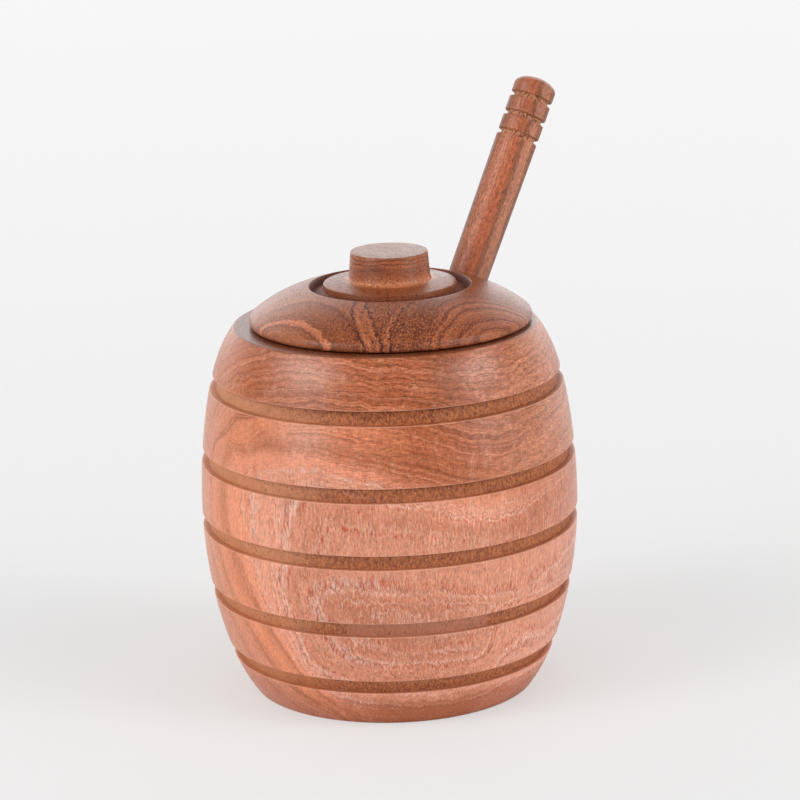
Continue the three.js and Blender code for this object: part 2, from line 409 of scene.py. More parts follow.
def dipper_placement():
    """Takes the dipper from upright, at its nose, to its leaning place in an unshifted lid."""
    turn = Matrix.Rotation(DIPPER_HEADING, 4, "Z")
    shift = Matrix.Translation((NOSE_REACH * MM, 0, NOSE_HEIGHT * MM))
    return turn @ shift @ Matrix.Rotation(DIPPER_LEAN, 4, "Y")


def bored(lid):
    """Cuts the slanted bore for the dipper into the lid and drops the cutter."""
    radius = shaft_radius(HOLE_DISTANCE) + BORE_CLEARANCE
    low = (SEAT_HEIGHT - SPIGOT_DEPTH - NOSE_HEIGHT) / math.cos(DIPPER_LEAN) - 2 * radius
    high = HOLE_DISTANCE + 2 * radius
    outline = [(0, low, ROUGH), (radius, low, ROUGH), (radius, high, ROUGH), (0, high, ROUGH)]
    cutter = turned("bore_cutter", outline, BORE_SEGMENTS)
    cutter.data.transform(dipper_placement())
    cut = lid.modifiers.new("bore", "BOOLEAN")
    cut.operation = "DIFFERENCE"
    cut.solver = "EXACT"
    cut.object = cutter
    graph = bpy.context.evaluated_depsgraph_get()
    mesh = bpy.data.meshes.new_from_object(lid.evaluated_get(graph))
    lid.modifiers.clear()
    lid.data = mesh
    bpy.data.objects.remove(cutter)
    return lid


# Materials

PALE_SHEEN = 0.012
DARKEST_ALBEDO = 0.004
SHINE = 0.36
VARNISH_IOR = 1.5
# Where an open vessel starts to fade and where it ends, as shares of its cell
VESSEL_EDGE = (0.1, 0.45)


def linear(colour):
    """A colour of three sRGB values from 0 to 255 as linear RGBA."""
    def one(value):
        share = value / 255
        return share / 12.92 if share <= 0.04045 else ((share + 0.055) / 1.055) ** 2.4
    return tuple(one(v) for v in colour) + (1.0,)


def grey(tone):
    """A grey of one sRGB value from 0 to 255 as linear RGBA."""
    return linear((tone, tone, tone))


def seen(colour):
    """The albedo that looks like an sRGB colour once the satin surface has added its pale sheen."""
    return tuple(max(v - PALE_SHEEN, DARKEST_ALBEDO) for v in linear(colour)[:3]) + (1.0,)


class Wiring:
    """Short calls that add nodes to one material or world."""

    def __init__(self, holder):
        self.holder = holder
        holder.use_nodes = True
        self.tree = holder.node_tree
        self.tree.nodes.clear()

    def put(self, socket, value):
        if isinstance(value, bpy.types.NodeSocket):
            self.tree.links.new(value, socket)
        elif value is not None:
            socket.default_value = value

    def node(self, kind, inputs=None, **settings):
        made = self.tree.nodes.new("ShaderNode" + kind)
        for key, value in settings.items():
            setattr(made, key, value)
        for key, value in (inputs or {}).items():
            self.put(made.inputs[key], value)
        return made

    def math(self, operation, a, b=None, c=None):
        made = self.node("Math", operation=operation)
        for socket, value in zip(made.inputs, (a, b, c)):
            self.put(socket, value)
        return made.outputs[0]

    def times(self, *values):
        result = values[0]
        for value in values[1:]:
            result = self.math("MULTIPLY", result, value)
        return result

    def plus(self, *values):
        result = values[0]
        for value in values[1:]:
            result = self.math("ADD", result, value)
        return result

    def less(self, a, b):
        return self.math("SUBTRACT", a, b)

    def most(self, a, b):
        return self.math("MAXIMUM", a, b)

    def plus_times(self, base, value, weight):
        """A base value plus another one times a weight."""
        return self.math("MULTIPLY_ADD", value, weight, base)

    def hypot(self, a, b):
        return self.math("SQRT", self.plus_times(self.times(b, b), a, a))

    def vector(self, operation, a, b=None):
        made = self.node("VectorMath", operation=operation)
        self.put(made.inputs[0], a)
        self.put(made.inputs[1], b)
        return made.outputs["Value"] if operation in ("DOT_PRODUCT", "LENGTH") else made.outputs[0]

    def axes(self, point):
        """The x, y and z of a point."""
        return self.node("SeparateXYZ", {"Vector": point}).outputs

    def object_place(self):
        return self.node("TexCoord").outputs["Object"]

    def in_millimetres(self, place):
        return self.vector("MULTIPLY", place, (1 / MM, 1 / MM, 1 / MM))

    def noise(self, place, scale, detail=2.0, roughness=0.5, line=False):
        """Noise in space or along a line, with a mean near 0; it seldom passes -1 or 1."""
        inputs = {"W" if line else "Vector": place, "Scale": scale, "Detail": detail, "Roughness": roughness}
        made = self.node("TexNoise", inputs, noise_dimensions="1D" if line else "3D")
        return self.plus_times(-1, made.outputs["Fac"], 2)

    def grains(self, point, table):
        """Named noises, each from its stretch, scale, detail and roughness."""
        return {name: self.noise(self.vector("MULTIPLY", point, stretch), *numbers)
                for name, (stretch, *numbers) in table.items()}

    def weighted(self, values, weights):
        """The sum of named values, each times its weight."""
        return self.plus(*(self.times(values[name], weight) for name, weight in weights.items()))

    def spread(self, value, low, high, to_low=0, to_high=1):
        """Maps low..high to to_low..to_high with soft ends, clamped."""
        inputs = {"Value": value, "From Min": low, "From Max": high, "To Min": to_low, "To Max": to_high}
        return self.node("MapRange", inputs, interpolation_type="SMOOTHSTEP").outputs["Result"]

    def within(self, values, limits):
        """The product of the spreads of named values."""
        return self.times(*(self.spread(values[name], *numbers) for name, *numbers in limits))

    def row(self, value, middle, reach):
        """1 at a middle value, falling to 0 on both sides within a reach."""
        away = self.math("ABSOLUTE", self.less(value, middle))
        return self.spread(away, 0, reach, 1, 0)

    def curve(self, value, stops, span, to_span):
        """A smooth curve through (place, result) pairs, from 0 to span and from 0 to to_span."""
        made = self.node("FloatCurve", {"Value": self.times(value, 1 / span)})
        line = made.mapping.curves[0]
        spots = [(place / span, result / to_span) for place, result in stops]
        line.points[0].location = spots[0]
        line.points[1].location = spots[-1]
        for spot in spots[1:-1]:
            line.points.new(*spot)
        made.mapping.update()
        return self.times(made.outputs[0], to_span)

    def ramp(self, value, stops, shade=seen):
        """Colours at chosen values, from the first stop to the last."""
        low, high = stops[0][0], stops[-1][0]
        share = self.node("MapRange", {"Value": value, "From Min": low, "From Max": high}).outputs["Result"]
        made = self.node("ValToRGB", {"Fac": share})
        elements = made.color_ramp.elements
        elements.remove(elements[-1])
        for i, (place, colour) in enumerate(stops):
            spot = (place - low) / (high - low)
            element = elements.new(spot) if i else elements[0]
            element.position = spot
            element.color = shade(colour)
        return made.outputs["Color"]

    def mix(self, factor, a, b):
        made = self.node("Mix", data_type="RGBA")
        self.put(made.inputs["Factor"], factor)
        for socket, value in ((made.inputs[6], a), (made.inputs[7], b)):
            self.put(socket, value if isinstance(value, bpy.types.NodeSocket) else seen(value))
        return made.outputs[2]

    def lay(self, colour, mask, tone, share):
        """Lays another tone over a colour, in a share of a mask."""
        return self.mix(self.times(mask, share), colour, tone)

    def areas(self, colour, values, table):
        """Lays tones over a colour, each within its limits."""
        for tone, share, *limits in table:
            colour = self.lay(colour, self.within(values, limits), tone, share)
        return colour

    def tint(self, colour, strength):
        """Lightens or darkens a colour by a share from about -1 to 1."""
        return self.vector("MULTIPLY", colour, self.plus(strength, 1))

    def pores(self, point, width, length, amount):
        """Open vessels: short dashes along the third axis, in a share of the cells that amount sets."""
        cells = self.vector("MULTIPLY", point, (1 / width, 1 / width, 1 / length))
        voronoi = self.node("TexVoronoi", {"Vector": cells, "Scale": 1, "Randomness": 1})
        chance = self.node("SeparateColor", {"Color": voronoi.outputs["Color"]}).outputs[0]
        inside = self.spread(voronoi.outputs["Distance"], *VESSEL_EDGE, 1, 0)
        return self.times(inside, self.math("LESS_THAN", chance, amount))

    def year_lines(self, depth, spacing, scale, unevenness, start, peak):
        """A line in each spacing of the depth, darkening from start to peak and then ending sharply."""
        uneven = self.plus_times(depth, self.noise(depth, scale, line=True), unevenness)
        year = self.math("FRACT", self.times(uneven, 1 / spacing))
        return self.times(self.spread(year, start, peak), self.spread(year, peak, 1, 1, 0))

    def cut(self):
        """The share of rough cut that the mesh carries."""
        return self.node("Attribute", attribute_name="cut").outputs["Fac"]

    def finish(self, colour, values, roughness, roughening, relief, depth):
        """A satin surface: roughness, weights of what adds to it and of the relief, and its depth in mm."""
        rough = self.plus(self.weighted(values, roughening), roughness)
        height = self.weighted(values, relief)
        bump = self.node("Bump", {"Strength": 1.0, "Distance": depth * MM, "Height": height})
        satin = {"IOR": VARNISH_IOR, "Specular IOR Level": SHINE, "Normal": bump.outputs["Normal"]}
        shader = self.node("BsdfPrincipled", {"Base Color": colour, "Roughness": rough, **satin})
        self.node("OutputMaterial", {"Surface": shader.outputs[0]})
        return self.holder


def around(name, middle, reach):
    """The two limits that let a value fade out within a reach of its middle."""
    return (name, middle - reach, middle), (name, middle + reach, middle)


# Pot: ovals of grain low on the front, upright bands to the left and level lines above and to the right.
# Places are in millimetres: right and height as seen from the front, and depth in the growth layers.
# A limit is a name with the numbers for its spread. A tone is a seen colour with its share.

OVAL_HEADING = math.radians(5)
OVAL_FRONT = 50.0
HEIGHT_RANGE = 100.0
POT_DEPTH_RANGE = 120.0

# How the layers leave the plain ovals
ROUND_BLEND = (-38, 12)
SKIRT_TOP = 54.0
SKIRT_SLOPE = 0.5
SKIRT_BEND = -0.0025
SKIRT_LIMITS = (("outside", 16.5, 21.5), ("right", -8, -20))
SKIRT_WIDENING_TOP = 40.0
SKIRT_WIDENING = 0.2
CLOSING_DEPTH = 7.5
CLOSING_LIMITS = (("right", 17, 27), ("height", 38, 29))
TILT_LIMITS = (
    ("right", -26, 20, -5, 4.5),
    ("height", 50, 70, 0.2, 1),
    ("height", 80, 90, 1, 0.4),
)
SAG_LIMITS = (*around("right", 25, 21), ("height", 30, 38), ("height", 80, 90, 4, 2))
CLIMB = (36, 52, 0, -3)

# Depth of the layers met at heights straight above and below the ovals' middle
POT_RISE = (
    (0, 28), (5, 20), (10, 13.5), (17, 7.5), (29, 0),
    (42, 7.5), (54.5, 9), (61.5, 11.5), (66, 18.5), (69.5, 27),
    (72, 29.6), (75, 31.6), (78, 34), (84, 38.5), (100, 54),
)

# Seen colours by depth
POT_LAYERS = (
    (0, (192, 124, 97)), (3, (194, 127, 101)), (5.5, (203, 134, 107)),
    (8.4, (209, 140, 113)), (9.4, (202, 132, 104)), (11, (211, 141, 114)),
    (13, (224, 154, 127)), (17.5, (226, 156, 129)), (20, (230, 152, 122)),
    (24, (234, 154, 122)), (26.8, (228, 150, 118)), (28.3, (200, 127, 95)),
    (29.8, (188, 115, 83)), (31.2, (204, 128, 96)), (33, (222, 140, 104)),
    (34.8, (226, 143, 106)), (36.4, (208, 132, 100)), (37.6, (184, 114, 84)),
    (38.6, (206, 132, 102)), (42, (214, 143, 114)), (45, (186, 118, 90)),
    (46.4, (208, 138, 110)), (54, (200, 132, 104)), (62, (212, 144, 116)),
    (70, (196, 126, 98)), (80, (214, 146, 116)), (92, (194, 124, 94)),
    (104, (212, 142, 112)), (POT_DEPTH_RANGE, (200, 130, 100)),
)

# Noises: stretch, scale, detail and roughness
POT_GRAINS = {
    "sway": ((1, 1, 1), 0.045, 2),
    "wave": ((1, 1, 0.6), 0.14, 2),
    "jag": ((1, 1, 0.2), 0.85, 3, 0.7),
    "hair": ((1, 1, 0.14), 3.2, 3, 0.75),
    "streak": ((1, 1, 0.08), 1.5, 3, 0.7),
    "gaps": ((1, 1, 2.2), 0.09, 3),
    "comb": ((1, 1, 0.16), 1.7, 2, 0.6),
    "patch": ((1, 1, 0.5), 0.22, 2),
    "cloud": ((1, 1, 0.35), 0.4, 4, 0.7),
    "speckle": ((1, 1, 0.45), 2, 2, 0.8),
    "level": ((0.3, 0.3, 1.3), 2, 2, 0.8),
    "rough": ((1, 1, 0.5), 1.8, 2, 0.8),
}
POT_SWING = {"sway": 2, "wave": 1, "jag": 0.7}
POT_LIFT = {"sway": 1.6, "wave": 1.6}
POT_LOW_LIFT = {"jag": 1.7, "hair": 0.5}
LOW_HEIGHTS = (60, 71, 1, 0.22)

# Seen colours of the thin layers above the front, by the noise that they come from
TOP_LAYERS = (
    (-0.6, (116, 58, 32)), (-0.3, (138, 72, 42)), (-0.05, (168, 93, 60)),
    (0.15, (176, 101, 68)), (0.4, (196, 128, 97)), (0.7, (220, 160, 131)),
)
THIN_LAYERS = (0.85, 4, 0.8)
TOP_WEIGHTS = {"thin": 1.1, "hair": 0.2, "wave": 0.14}
TOP_LIMITS = (("height", 58, 71), ("right", -16, 6, 0.2, 0.9))
RIM_LIMITS = (("height", 83, 88, 0, 0.9),)
FOOT_LIMITS = (("height", 10.5, 5.5, 0, 0.75), ("right", -34, -6, 0.35, 1))

# Painted sheen: paler patches above the front, where highlights fall: place to the right, reach, height and
# share
SHEEN_PATCHES = ((-24, 12, 95, 0.35), (21.5, 7, 95, 0.3), (-24, 10, 80, 0.25), (43, 9, 78, 0.2))

# Areas of another tone, among them painted sheen
POT_AREAS = (
    # Paler greyish area to the right above the front: partly the wood's tone, partly painted sheen
    ((208, 150, 124), 0.35, ("right", 18, 36), ("height", 64, 68)),
    ((176, 102, 70), 0.55, ("right", 22, 34), ("height", 47, 52), ("height", 68, 64)),
    ((142, 82, 54), 0.6, *around("right", 12, 8), ("height", 84, 88)),
    # Painted sheen: paler patches where highlights fall above the front
    *(((222, 178, 160), share, *around("right", middle, reach), *around("height", level, 9))
      for middle, reach, level, share in SHEEN_PATCHES),
    ((222, 154, 127), 0.55, ("right", 4, 24), ("height", 48, 40), ("height", 8, 14)),
    ((214, 132, 86), 0.3, ("right", -32, -44)),
)
POT_MOTTLING = (
    ((226, 174, 152), 0.3, ("cloud", 0, 0.55)),
    ((176, 102, 74), 0.4, ("cloud", 0, -0.55)),
)
POT_ENDS = (
    ((154, 82, 42), 0.55, ("height", 11, 4), ("right", -16, 0), ("right", 12, 24, 1, 0.2)),
    # Painted shade: the rim's top darkened under the lid's edge
    ((110, 62, 44), 0.85, ("z", POT_HEIGHT - 0.35, POT_HEIGHT - 0.1)),
)

# Dark year lines: spacing, scale and amount of their unevenness, start and peak
POT_YEARS = (1.6, 0.45, 1.3, 0.35, 0.88)
YEAR_STRENGTH = (0.36, 1)
YEAR_LIMITS = (("gaps", -0.35, 0.15), ("depth", 25, 29), ("strength", -0.2, 0.3, 0.3, 1))
YEAR_ENDS = ((66, 72), (13, 9))
YEAR_TONE = ((116, 58, 34), 0.6)

# Pale strokes: middle and reach in the depth. Red dashes: middle, reach and share
STROKE_ROWS = ((7, 1.4), (12.6, 1.3), (18.6, 2))
STROKE_LIMITS = (("comb", 0, 0.22), ("right", 6, -16))
STROKE_TONE = ((206, 180, 170), 0.75)
DASH_ROWS = ((3.4, 0.7, 0.5), (7.4, 0.6, 0.75), (8.95, 0.24, 0.85), (11.3, 0.5, 0.75), (20.6, 0.9, 0.35))
DASH_LIMITS = (("comb", 0.04, -0.16), ("patch", -0.3, 0, 0.25, 1))
DASH_COLOUR = (184, 80, 52)

# Serrated edges: depth and share. Their lines: offset and reach in the depth, seen colour and share
SERRATED_ROWS = (
    (2.3, 0.5), (4.3, 0.6), (6.4, 0.75), (9.3, 0.3), (12.4, 0.9), (14.3, 0.5), (18.8, 0.9), (21.2, 0.6),
)
SERRATED_LINES = ((-0.2, 0.36, (240, 204, 186), 0.6), (0.4, 0.42, (166, 88, 64), 0.8))
SERRATED_LIMITS = (("patch", -0.4, 0.1, 0.25, 1), ("height", 72, 66))
TEETH_LENGTH = 1.5

# Fibres: upright ones, and level ones above the front
UPRIGHT_WEIGHTS = {"speckle": 0.5, "hair": 0.34, "inner": 0.36}
INNER_DEPTHS = (12, 20, 1, 0.45)
UPRIGHT_LIMITS = (("low", 0.22, 1, 0.6, 1.15),)
LEVEL_LIMITS = (
    ("low", 0.22, 1, 0.95, 0),
    ("right", -34, -4, 0.4, 1),
    ("y", -12, 14, 1, 0.15),
    ("height", 83, 89, 1, 1.2),
)

# Vessels and filled ones: width, length, depths that set their amount, seen colour and share
VESSELS = (0.7, 1.5, (9, 14, 0.12, 0.04), (170, 76, 50), 0.7)
FLECKS = (0.45, 1.1, (9, 20, 0.3, 0), (240, 200, 180), 0.4)
FLECK_OFFSET = (31, 17, 5)

# Rough-cut faces of the grooves and the hollow
ROUGH_LIMITS = (("rough", -0.42, 0.42),)
ROUGH_TONES = ((104, 47, 14), (202, 124, 72))
ROUGH_AREAS = (
    ((190, 132, 108), 0.65, ("depth", 7.5, 5)),
    ((212, 152, 112), 0.6, ("right", -14, -36)),
)
PIT_SIZE = (0.55, 1.1)
PIT_AMOUNT = (-0.2, 0.3, 0.08, 0.6)
PIT_TONE = ((66, 32, 14), 0.8)
CUT_LIMITS = (("cut", 0.3, 0.8, 0, 0.8),)
CUT_SHADE_AND_EDGE_LIGHT = (
    # Painted shade in the grooves' deepest corners and inside the hollow
    ((84, 44, 24), 0.55, ("cut", 0.87, 1)),
    # Painted highlight along the grooves' edges
    ((240, 184, 156), 0.5, *around("cut", 0.3, 0.25)),
)

# Roughness, weights of what adds to it and of what makes the relief, and the relief's depth
POT_RELIEF = {"hair": 0.5, "vessel": -0.6, "rough_cut": 1.2}
POT_SURFACE = (0.26, {"cut": 0.4, "vessel": 0.2, "hair": 0.06}, POT_RELIEF, 0.05)


def pot_depth(w, point, swing, lift):
    """Depth inside the growth layers, whose level lines on the barrel draw the figure."""
    front = w.vector("DOT_PRODUCT", point, (math.sin(OVAL_HEADING), -math.cos(OVAL_HEADING), 0))
    right = w.vector("DOT_PRODUCT", point, (math.cos(OVAL_HEADING), math.sin(OVAL_HEADING), 0))
    height = w.plus(w.axes(point)[2], lift)
    at = {"right": right, "height": height}

    # Across: upright layers to the left, and layers that follow the barrel to the right
    bend = w.less(w.hypot(w.most(right, 0), front), front)
    front = w.plus_times(front, bend, w.spread(front, *ROUND_BLEND))
    across = w.math("ABSOLUTE", w.plus(w.less(OVAL_FRONT, front), swing))
    low = w.most(w.less(SKIRT_TOP, height), 0)
    lower = w.most(w.less(SKIRT_WIDENING_TOP, height), 0)
    at["outside"] = w.plus_times(across, lower, SKIRT_WIDENING)
    skirt = w.times(low, w.plus_times(SKIRT_SLOPE, low, SKIRT_BEND), w.within(at, SKIRT_LIMITS))
    across = w.plus(across, skirt, w.times(w.within(at, CLOSING_LIMITS), CLOSING_DEPTH))

    # Upwards: the lines sag to the right of the front and climb again past it
    level = w.plus(height, w.within(at, TILT_LIMITS), w.within(at, SAG_LIMITS), w.spread(right, *CLIMB))
    rise = w.curve(level, POT_RISE, HEIGHT_RANGE, POT_DEPTH_RANGE)
    cubes = w.plus(w.math("POWER", across, 3), w.math("POWER", rise, 3))
    return w.math("POWER", cubes, 1 / 3), right, height


def pot_tones(w, colour, at):
    """Thin brown layers above the front and at both ends, and the areas of another tone, among them painted
    sheen.
    """
    at["thin"] = w.noise(at["depth"], *THIN_LAYERS, line=True)
    ends = w.most(w.within(at, RIM_LIMITS), w.within(at, FOOT_LIMITS))
    brown = w.ramp(w.weighted(at, TOP_WEIGHTS), TOP_LAYERS)
    colour = w.mix(w.most(w.within(at, TOP_LIMITS), ends), colour, brown)
    return w.areas(colour, at, POT_AREAS)


def pot_lines(w, colour, at):
    """Dark year lines near rim and foot, and the strokes, dashes and edges of the ovals."""
    at["strength"] = w.noise(at["depth"], *YEAR_STRENGTH, line=True)
    ends = w.plus(*(w.spread(at["height"], *heights) for heights in YEAR_ENDS))
    line = w.times(w.year_lines(at["depth"], *POT_YEARS), w.within(at, YEAR_LIMITS), ends)
    colour = w.lay(colour, line, *YEAR_TONE)

    strokes = w.within(at, STROKE_LIMITS)
    for middle, reach in STROKE_ROWS:
        colour = w.lay(colour, w.times(w.row(at["depth"], middle, reach), strokes), *STROKE_TONE)
    dashes = w.within(at, DASH_LIMITS)
    for middle, reach, share in DASH_ROWS:
        colour = w.lay(colour, w.times(w.row(at["depth"], middle, reach), dashes), DASH_COLOUR, share)

    shown = w.within(at, SERRATED_LIMITS)
    teeth = w.plus_times(at["depth"], at["comb"], TEETH_LENGTH)
    for middle, share in SERRATED_ROWS:
        for offset, reach, tone, strength in SERRATED_LINES:
            line = w.times(w.row(teeth, middle + offset, reach), shown)
            colour = w.lay(colour, line, tone, share * strength)
    return colour


def pot_fibres(w, colour, at):
    """Mottling, and fibres: drawn out upwards in the ovals and level above the front."""
    colour = w.areas(colour, at, POT_MOTTLING)
    at["inner"] = w.times(at["streak"], w.spread(at["depth"], *INNER_DEPTHS))
    upright = w.times(w.weighted(at, UPRIGHT_WEIGHTS), w.within(at, UPRIGHT_LIMITS))
    return w.tint(colour, w.plus_times(upright, w.within(at, LEVEL_LIMITS), at["level"]))


def pot_cuts(w, colour, at, point):
    """Golden rough faces in the grooves and the hollow, with dark pits, painted shade in the deepest corners
    and the hollow, and a painted highlight on the grooves' edges.
    """
    rough = w.areas(w.mix(w.within(at, ROUGH_LIMITS), *ROUGH_TONES), at, ROUGH_AREAS)
    pits = w.pores(point, *PIT_SIZE, w.spread(at["wave"], *PIT_AMOUNT))
    rough = w.lay(rough, pits, *PIT_TONE)
    return w.areas(w.mix(w.within(at, CUT_LIMITS), colour, rough), at, CUT_SHADE_AND_EDGE_LIGHT)


def pot_wood():
    w = Wiring(bpy.data.materials.new("pot_wood"))
    point = w.in_millimetres(w.object_place())
    at = w.grains(point, POT_GRAINS)
    _, at["y"], at["z"] = w.axes(point)
    at["cut"] = w.cut()
    at["rough_cut"] = w.times(at["rough"], at["cut"])
    at["low"] = w.spread(at["z"], *LOW_HEIGHTS)
    lift = w.plus_times(w.weighted(at, POT_LIFT), w.weighted(at, POT_LOW_LIFT), at["low"])
    at["depth"], at["right"], at["height"] = pot_depth(w, point, w.weighted(at, POT_SWING), lift)
    colour = w.ramp(at["depth"], POT_LAYERS)
    colour = pot_tones(w, colour, at)
    colour = pot_lines(w, colour, at)
    colour = pot_fibres(w, colour, at)

    # Stray reddish vessels, and pale filled ones, thickest in the ovals
    aside = w.vector("ADD", point, FLECK_OFFSET)
    for name, place, kind in (("vessel", point, VESSELS), ("fleck", aside, FLECKS)):
        width, length, depths, *tone = kind
        at[name] = w.pores(place, width, length, w.spread(at["depth"], *depths))
        colour = w.lay(colour, at[name], *tone)

    # Darker wood at the foot, and painted shade on the rim's top under the lid
    colour = w.areas(colour, at, POT_ENDS)
    return w.finish(pot_cuts(w, colour, at, point), at, *POT_SURFACE)


# Lid: lines that run away from the front and fan out to both sides.
# Places are in millimetres: x to the right of the lid's middle, front before it, over above the knob's foot.

# Seen colours by the saddle, which is the product of the distances to the right and to the front
LID_LAYERS = (
    (-1000, (164, 98, 66)), (-760, (138, 76, 48)), (-735, (162, 96, 62)),
    (-600, (150, 86, 54)), (-566, (104, 52, 28)), (-548, (204, 124, 88)),
    (-506, (198, 118, 82)), (-490, (92, 44, 22)), (-470, (140, 78, 48)),
    (-340, (146, 82, 54)), (-306, (104, 52, 30)), (-284, (156, 90, 58)),
    (-150, (138, 76, 48)), (150, (138, 76, 48)), (226, (120, 62, 36)),
    (286, (142, 78, 50)), (298, (80, 36, 18)), (314, (160, 90, 58)),
    (346, (150, 80, 50)), (356, (76, 34, 16)), (374, (176, 102, 66)),
    (416, (156, 86, 54)), (428, (84, 38, 20)), (446, (172, 100, 66)),
    (540, (148, 80, 50)), (552, (84, 38, 20)), (572, (176, 102, 68)),
    (632, (158, 88, 56)), (646, (98, 48, 26)), (668, (172, 102, 70)),
    (840, (158, 92, 62)), (1000, (168, 102, 70)),
)

# Seen colours of the knob by millimetres above its foot
KNOB_LAYERS = (
    (-0.5, (190, 122, 88)), (0.6, (190, 120, 84)), (1.6, (164, 94, 62)),
    (2.9, (146, 82, 54)), (4.1, (142, 80, 54)), (4.9, (170, 98, 64)),
    (5.35, (116, 62, 40)), (5.65, (162, 94, 62)), (6.1, (160, 90, 58)),
    (6.5, (118, 64, 42)), (6.8, (164, 96, 64)), (8.5, (160, 98, 70)),
)

# Noises over the lid, and those along its lines, where the third axis runs to the back
LID_GRAINS = {
    "sway": ((1, 1, 1), 0.07, 2),
    "wave": ((1, 1, 1), 0.3, 3, 0.6),
    "veil": ((1, 1, 1), 0.22, 2),
    "crack_gaps": ((1, 1, 1), 0.3, 2),
    "year_gaps": ((1, 1, 1), 0.16, 2),
    "flow": ((0.3, 1.4, 1.4), 1.2, 3, 0.7),
    "rough": ((1, 1, 1), 2.2, 4, 0.75),
}
LID_LINE_GRAINS = {
    "jag": ((1, 1, 0.4), 1.1, 3, 0.7),
    "hair": ((1, 1, 0.2), 3.4, 3, 0.75),
    "grit": ((1, 1, 0.4), 2.2, 1.5, 0.7),
}
LID_JAG = {"wave": 1.1, "jag": 1, "hair": 0.3}
LID_SWAY = 2.4
LID_WAVE = 0.8

# Jagged cracks near the front: places to the right at three distances to the front, and a warm strip's side
LID_CRACKS = (
    (-9, -9.4, -6.6, 1.1),
    (-6.2, -4.9, -2.4, -0.9),
    (6.2, 1.5, -0.1, -0.9),
)
CRACK_MIDDLE = 29.0
CRACK_STEP = 8.0
CRACK_LIMITS = (("front", 14, 20), ("crack_gaps", -0.4, 0, 0.35, 1))
CRACK_REACH = 0.75
CRACK_TONE = ((70, 32, 16), 0.95)
STRIP_FRONT = (24, 32, 0.5, 1)
STRIP_REACH = 1.1
STRIP_TONE = ((204, 120, 80), 0.8)

# Faint year lines, as on the pot, then turning marks and threads: scale, detail and roughness
LID_YEARS = (38, 0.02, 30, 0.5, 0.9)
LID_YEAR_LIMITS = (("year_gaps", -0.25, 0.3), ("saddle", -150, 180, 0.3, 0.7))
LID_YEAR_COLOUR = (96, 48, 26)
TURNING_MARKS = (3.4, 3, 0.7)
TURNING_SLANT = 0.7
THREADS = (0.045, 3, 0.75)
THREAD_JAG = 12.0
LID_TINT = {"thread": 0.85, "hair": 0.7, "mark": 0.2, "wave": 0.16}
LID_VEIL = (((136, 77, 49), 0.3, ("veil", 0.2, -0.35)),)
# Painted sheen: the lid's left side lightened
LID_LEFT_SHEEN = (((196, 126, 94), 0.25, ("x", -12, -30)),)

# Grit: how coarse it is where, its light grains and its dark pits
COARSE_LIMITS = (*around("x", 2, 24), ("front", 20, 30))
COARSE_BASE = 0.5
LIGHT_GRIT = (0, -0.4, 0, 0.5)
LIGHT_GRIT_COLOUR = (190, 120, 88)
DARK_GRIT = (0.02, 0.34)
DARK_GRIT_TONE = ((72, 32, 14), 0.6)

# Knob: its bands, and its duller top
KNOB_LIMITS = (("radius", 11.8, 13, 1, 0), ("over", -0.5, 0.3))
KNOB_SHARE = 0.9
KNOB_WAVES = {"over": 1, "sway": 1.4, "wave": 0.45, "jag": 0.14}
KNOB_TINT = {"grit": -1.1, "hair": 0.6}
KNOB_SMUDGE = (((84, 44, 30), 0.6, *around("x", -4, 5), *around("over", 4.4, 1.8)),)
KNOB_TOP_LIMITS = (("over", KNOB_HEIGHT - 0.3, KNOB_HEIGHT - 0.05, 0, 0.8),)
END_GRAIN = ((124, 76, 58), (152, 102, 82))
END_GRAIN_LIMITS = (("wave", -0.4, 0.4),)
END_GRAIN_FLOW = {"flow": 1, "grit": 0.5}
END_GRAIN_AREAS = (
    ((84, 44, 28), 0.85, ("gritty", -0.05, 0.35)),
    ((158, 108, 84), 0.6, ("flow", 0, -0.4)),
)

# Rough cut, and painted shade on the moat's wall, with a few light chips at its foot
LID_ROUGH = ((120, 66, 40), (180, 112, 78))
LID_ROUGH_LIMITS = (("rough", -0.35, 0.35),)
LID_CUT_SHARE = 0.6
MOAT_LIMITS = (("z", CROWN_TOP - 0.35, CROWN_TOP - 1), ("radius", MOAT_RADIUS + 0.1, MOAT_RADIUS - 0.05))
MOAT_PAINTED_SHADE = (((104, 48, 26), 0.8, *MOAT_LIMITS, ("cut", 0.05, 0.4)),)
CHIPS = (0.8, 0.8, 0.35)
CHIP_LIMITS = (*MOAT_LIMITS, ("radius", MOAT_RADIUS - 0.8, MOAT_RADIUS - 1.4, 0, 0.6))
CHIP_COLOUR = (176, 108, 70)

LID_RELIEF = {"mark": 0.5, "hair": 0.5, "pit": -0.7, "rough_cut": 1.2}
LID_SURFACE = (0.3, {"cut": 0.35, "pit": 0.2, "hair": 0.06}, LID_RELIEF, 0.045)


def beside_crack(w, x, front, near, middle, far):
    """Distance to the right of a crack that runs through three given places."""
    step = w.plus_times(-CRACK_MIDDLE / CRACK_STEP, front, 1 / CRACK_STEP)
    bent = w.plus_times((far - near) / 2, step, (near + far) / 2 - middle)
    return w.less(x, w.plus_times(middle, step, bent))


def lid_cracks(w, colour, at, jagged):
    """Dark jagged cracks near the front, each with a warm strip beside it."""
    fade = w.within(at, CRACK_LIMITS)
    strips = w.times(fade, w.spread(at["front"], *STRIP_FRONT))
    for near, middle, far, side in LID_CRACKS:
        beside = beside_crack(w, w.plus(at["x"], jagged), at["front"], near, middle, far)
        colour = w.lay(colour, w.times(w.row(beside, side, STRIP_REACH), strips), *STRIP_TONE)
        colour = w.lay(colour, w.times(w.row(beside, 0, CRACK_REACH), fade), *CRACK_TONE)
    return colour


